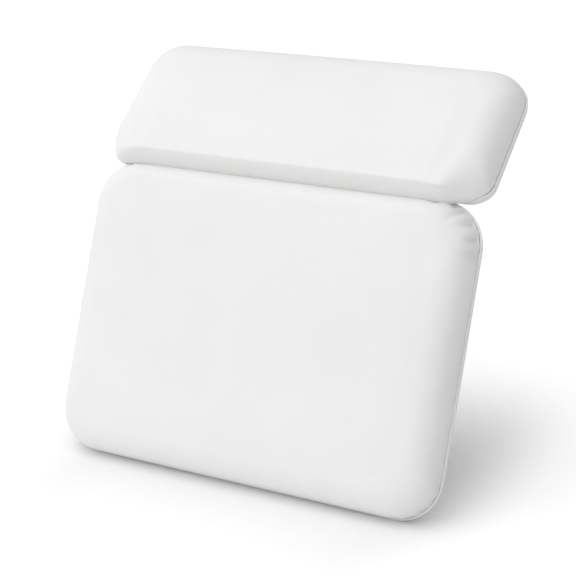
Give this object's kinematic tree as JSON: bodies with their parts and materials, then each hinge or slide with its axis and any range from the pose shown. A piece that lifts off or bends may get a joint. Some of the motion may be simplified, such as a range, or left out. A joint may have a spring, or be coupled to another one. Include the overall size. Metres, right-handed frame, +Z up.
{
  "type": "bath pillow",
  "caption": "Bath pillow with a padded head panel hinged above a larger padded back panel, in smooth white vinyl, held to the tub by suction cups on its rear.",
  "frame": {"origin": "middle of the plane that the back panel's suction cups press on, where the tub's sloping wall holds the pillow", "axes": "+X along the width, to the right as the front is seen; +Y backwards, towards the tub wall; +Z up"},
  "size_m": [0.34, 0.1967, 0.3183],
  "materials": {
    "white_vinyl": "smooth satin vinyl skin with a very fine grain",
    "cushion_foam": "open-cell cushion foam",
    "clear_pvc": "soft, glossy, nearly clear PVC",
    "white_plastic": "moulded white plastic"
  },
  "bodies": {
    "back_panel": {"back_front_cover": "white_vinyl", "back_rear_cover": "white_vinyl", "back_foam_core": "cushion_foam", "back_seam_welt": "white_vinyl", "back_eyelet_upper_left": "white_plastic", "back_eyelet_upper_right": "white_plastic", "back_eyelet_middle": "white_plastic", "back_eyelet_lower_left": "white_plastic", "back_eyelet_lower_right": "white_plastic", "back_washer_upper_left": "white_plastic", "back_washer_upper_right": "white_plastic", "back_washer_middle": "white_plastic", "back_washer_lower_left": "white_plastic", "back_washer_lower_right": "white_plastic", "hinge_web": "white_vinyl"},
    "head_panel": {"head_front_cover": "white_vinyl", "head_rear_cover": "white_vinyl", "head_foam_core": "cushion_foam", "head_seam_welt": "white_vinyl", "head_eyelet_left": "white_plastic", "head_eyelet_right": "white_plastic", "head_washer_left": "white_plastic", "head_washer_right": "white_plastic"},
    "back_cup_upper_left": {"back_suction_cup_upper_left": "clear_pvc"},
    "back_cup_upper_right": {"back_suction_cup_upper_right": "clear_pvc"},
    "back_cup_middle": {"back_suction_cup_middle": "clear_pvc"},
    "back_cup_lower_left": {"back_suction_cup_lower_left": "clear_pvc"},
    "back_cup_lower_right": {"back_suction_cup_lower_right": "clear_pvc"},
    "head_cup_left": {"head_suction_cup_left": "clear_pvc"},
    "head_cup_right": {"head_suction_cup_right": "clear_pvc"}
  },
  "joints": [
    {"name": "head_fold", "type": "hinge", "parent": "back_panel", "child": "head_panel", "pos_m": [0, 0.02228, 0.12204], "axis": [-1, 0, 0], "range_deg": [-30, 50], "deforming": ["hinge_web"]},
    {"name": "back_cup_upper_left_swivel", "type": "hinge", "parent": "back_panel", "child": "back_cup_upper_left", "pos_m": [-0.108, 0.02155, 0.0592], "axis": [0, 0.9397, -0.342], "continuous": true},
    {"name": "back_cup_upper_right_swivel", "type": "hinge", "parent": "back_panel", "child": "back_cup_upper_right", "pos_m": [0.108, 0.02155, 0.0592], "axis": [0, 0.9397, -0.342], "continuous": true},
    {"name": "back_cup_middle_swivel", "type": "hinge", "parent": "back_panel", "child": "back_cup_middle", "pos_m": [0, 0, 0], "axis": [0, 0.9397, -0.342], "continuous": true},
    {"name": "back_cup_lower_left_swivel", "type": "hinge", "parent": "back_panel", "child": "back_cup_lower_left", "pos_m": [-0.108, -0.02155, -0.0592], "axis": [0, 0.9397, -0.342], "continuous": true},
    {"name": "back_cup_lower_right_swivel", "type": "hinge", "parent": "back_panel", "child": "back_cup_lower_right", "pos_m": [0.108, -0.02155, -0.0592], "axis": [0, 0.9397, -0.342], "continuous": true},
    {"name": "head_cup_left_swivel", "type": "hinge", "parent": "head_panel", "child": "head_cup_left", "pos_m": [-0.096, 0.08108, 0.14422], "axis": [0, 0.6428, -0.766], "continuous": true},
    {"name": "head_cup_right_swivel", "type": "hinge", "parent": "head_panel", "child": "head_cup_right", "pos_m": [0.096, 0.08108, 0.14422], "axis": [0, 0.6428, -0.766], "continuous": true}
  ]
}
